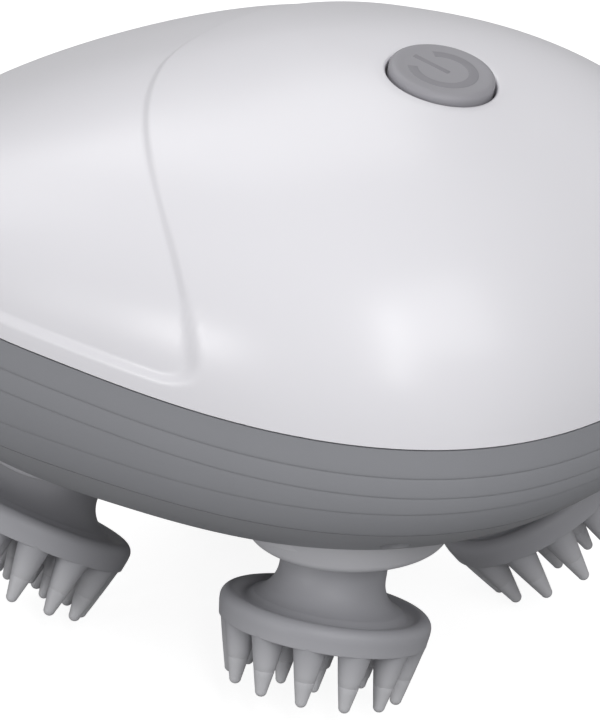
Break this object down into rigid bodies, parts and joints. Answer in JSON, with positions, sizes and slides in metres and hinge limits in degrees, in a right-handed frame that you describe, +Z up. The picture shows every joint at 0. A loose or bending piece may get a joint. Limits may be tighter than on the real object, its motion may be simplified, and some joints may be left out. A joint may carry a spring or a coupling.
{
  "type": "electric scalp massager",
  "caption": "Palm-sized electric scalp massager with a pearl dome, a grey silicone grip band, a power button and canted silicone claw heads on splayed shafts.",
  "frame": {"origin": "centre of the outline, on the plane that the claw tips stand on", "axes": "+Z up, +X towards the power button's end, +Y to the left of it"},
  "size_m": [0.125, 0.1042, 0.09],
  "materials": {
    "pearl_shell": "pearl satin",
    "grip_silicone": "matt silicone",
    "housing_plastic": "satin",
    "cup_plastic": "satin",
    "head_silicone": "soft silicone",
    "button_plastic": "satin",
    "inner_plastic": "moulded",
    "gear_plastic": "moulded",
    "dark_plastic": "moulded",
    "seal_rubber": "matt",
    "steel": "ground",
    "bronze": "sintered",
    "board": "coated",
    "cell_sleeve": "sleeve"
  },
  "bodies": {
    "housing": {"top_shell": "pearl_shell", "grip_band": "grip_silicone", "lower_housing": "housing_plastic", "seal_ring": "seal_rubber", "housing_screws": "steel", "chassis": "inner_plastic", "chassis_screws": "steel", "bearing_cup_front_right": "cup_plastic", "bearing_cup_front_left": "cup_plastic", "bearing_cup_rear_left": "cup_plastic", "bearing_cup_rear_right": "cup_plastic", "shaft_bushes": "bronze", "shaft_seals": "seal_rubber", "drive_bushes": "bronze", "motor_case": "steel", "battery_cell": "cell_sleeve", "battery_cradle": "inner_plastic", "control_board": "board", "switch_base": "dark_plastic", "board_screws": "steel", "charge_socket": "steel"},
    "drive": {"drive_axle": "steel", "sun_gear": "gear_plastic", "worm_wheel": "gear_plastic"},
    "motor_worm": {"worm": "steel"},
    "button": {"power_button": "button_plastic", "switch_plunger": "dark_plastic"},
    "head_front_right": {"output_shaft_front_right": "steel", "shaft_gear_front_right": "gear_plastic", "head_hub_front_right": "inner_plastic", "massage_head_front_right": "head_silicone"},
    "head_front_left": {"output_shaft_front_left": "steel", "shaft_gear_front_left": "gear_plastic", "head_hub_front_left": "inner_plastic", "massage_head_front_left": "head_silicone"},
    "head_rear_left": {"output_shaft_rear_left": "steel", "shaft_gear_rear_left": "gear_plastic", "head_hub_rear_left": "inner_plastic", "massage_head_rear_left": "head_silicone"},
    "head_rear_right": {"output_shaft_rear_right": "steel", "shaft_gear_rear_right": "gear_plastic", "head_hub_rear_right": "inner_plastic", "massage_head_rear_right": "head_silicone"},
    "plug": {"port_plug": "grip_silicone"}
  },
  "joints": [
    {"name": "drive_spin", "type": "hinge", "parent": "housing", "child": "drive", "pos_m": [0, 0, 0.04], "axis": [0, 0, 1], "continuous": true},
    {"name": "worm_spin", "type": "hinge", "parent": "housing", "child": "motor_worm", "pos_m": [0, 0.0205, 0.06164], "axis": [1, 0, 0], "continuous": true},
    {"name": "button_press", "type": "slide", "parent": "housing", "child": "button", "axis": [0.1853, 0, 0.9827], "range_m": [-0.0006, 0], "stiffness_N_per_m": 2000},
    {"name": "plug_pull", "type": "slide", "parent": "housing", "child": "plug", "axis": [-1, 0, 0], "range_m": [0, 0.008]},
    {"name": "head_spin_front_right", "type": "hinge", "parent": "housing", "child": "head_front_right", "pos_m": [0.0237, -0.0237, 0.02244], "axis": [-0.2372, 0.2372, 0.9421], "continuous": true},
    {"name": "head_spin_front_left", "type": "hinge", "parent": "housing", "child": "head_front_left", "pos_m": [0.0237, 0.0237, 0.02244], "axis": [-0.2372, -0.2372, 0.9421], "continuous": true},
    {"name": "head_spin_rear_left", "type": "hinge", "parent": "housing", "child": "head_rear_left", "pos_m": [-0.0237, 0.0237, 0.02244], "axis": [0.2372, -0.2372, 0.9421], "continuous": true},
    {"name": "head_spin_rear_right", "type": "hinge", "parent": "housing", "child": "head_rear_right", "pos_m": [-0.0237, -0.0237, 0.02244], "axis": [0.2372, 0.2372, 0.9421], "continuous": true}
  ],
  "couplings": [
    {"joint": "worm_spin", "follows": "drive_spin", "ratio": 32},
    {"joint": "head_spin_front_right", "follows": "drive_spin", "ratio": -1},
    {"joint": "head_spin_front_left", "follows": "drive_spin", "ratio": -1},
    {"joint": "head_spin_rear_left", "follows": "drive_spin", "ratio": -1},
    {"joint": "head_spin_rear_right", "follows": "drive_spin", "ratio": -1}
  ]
}
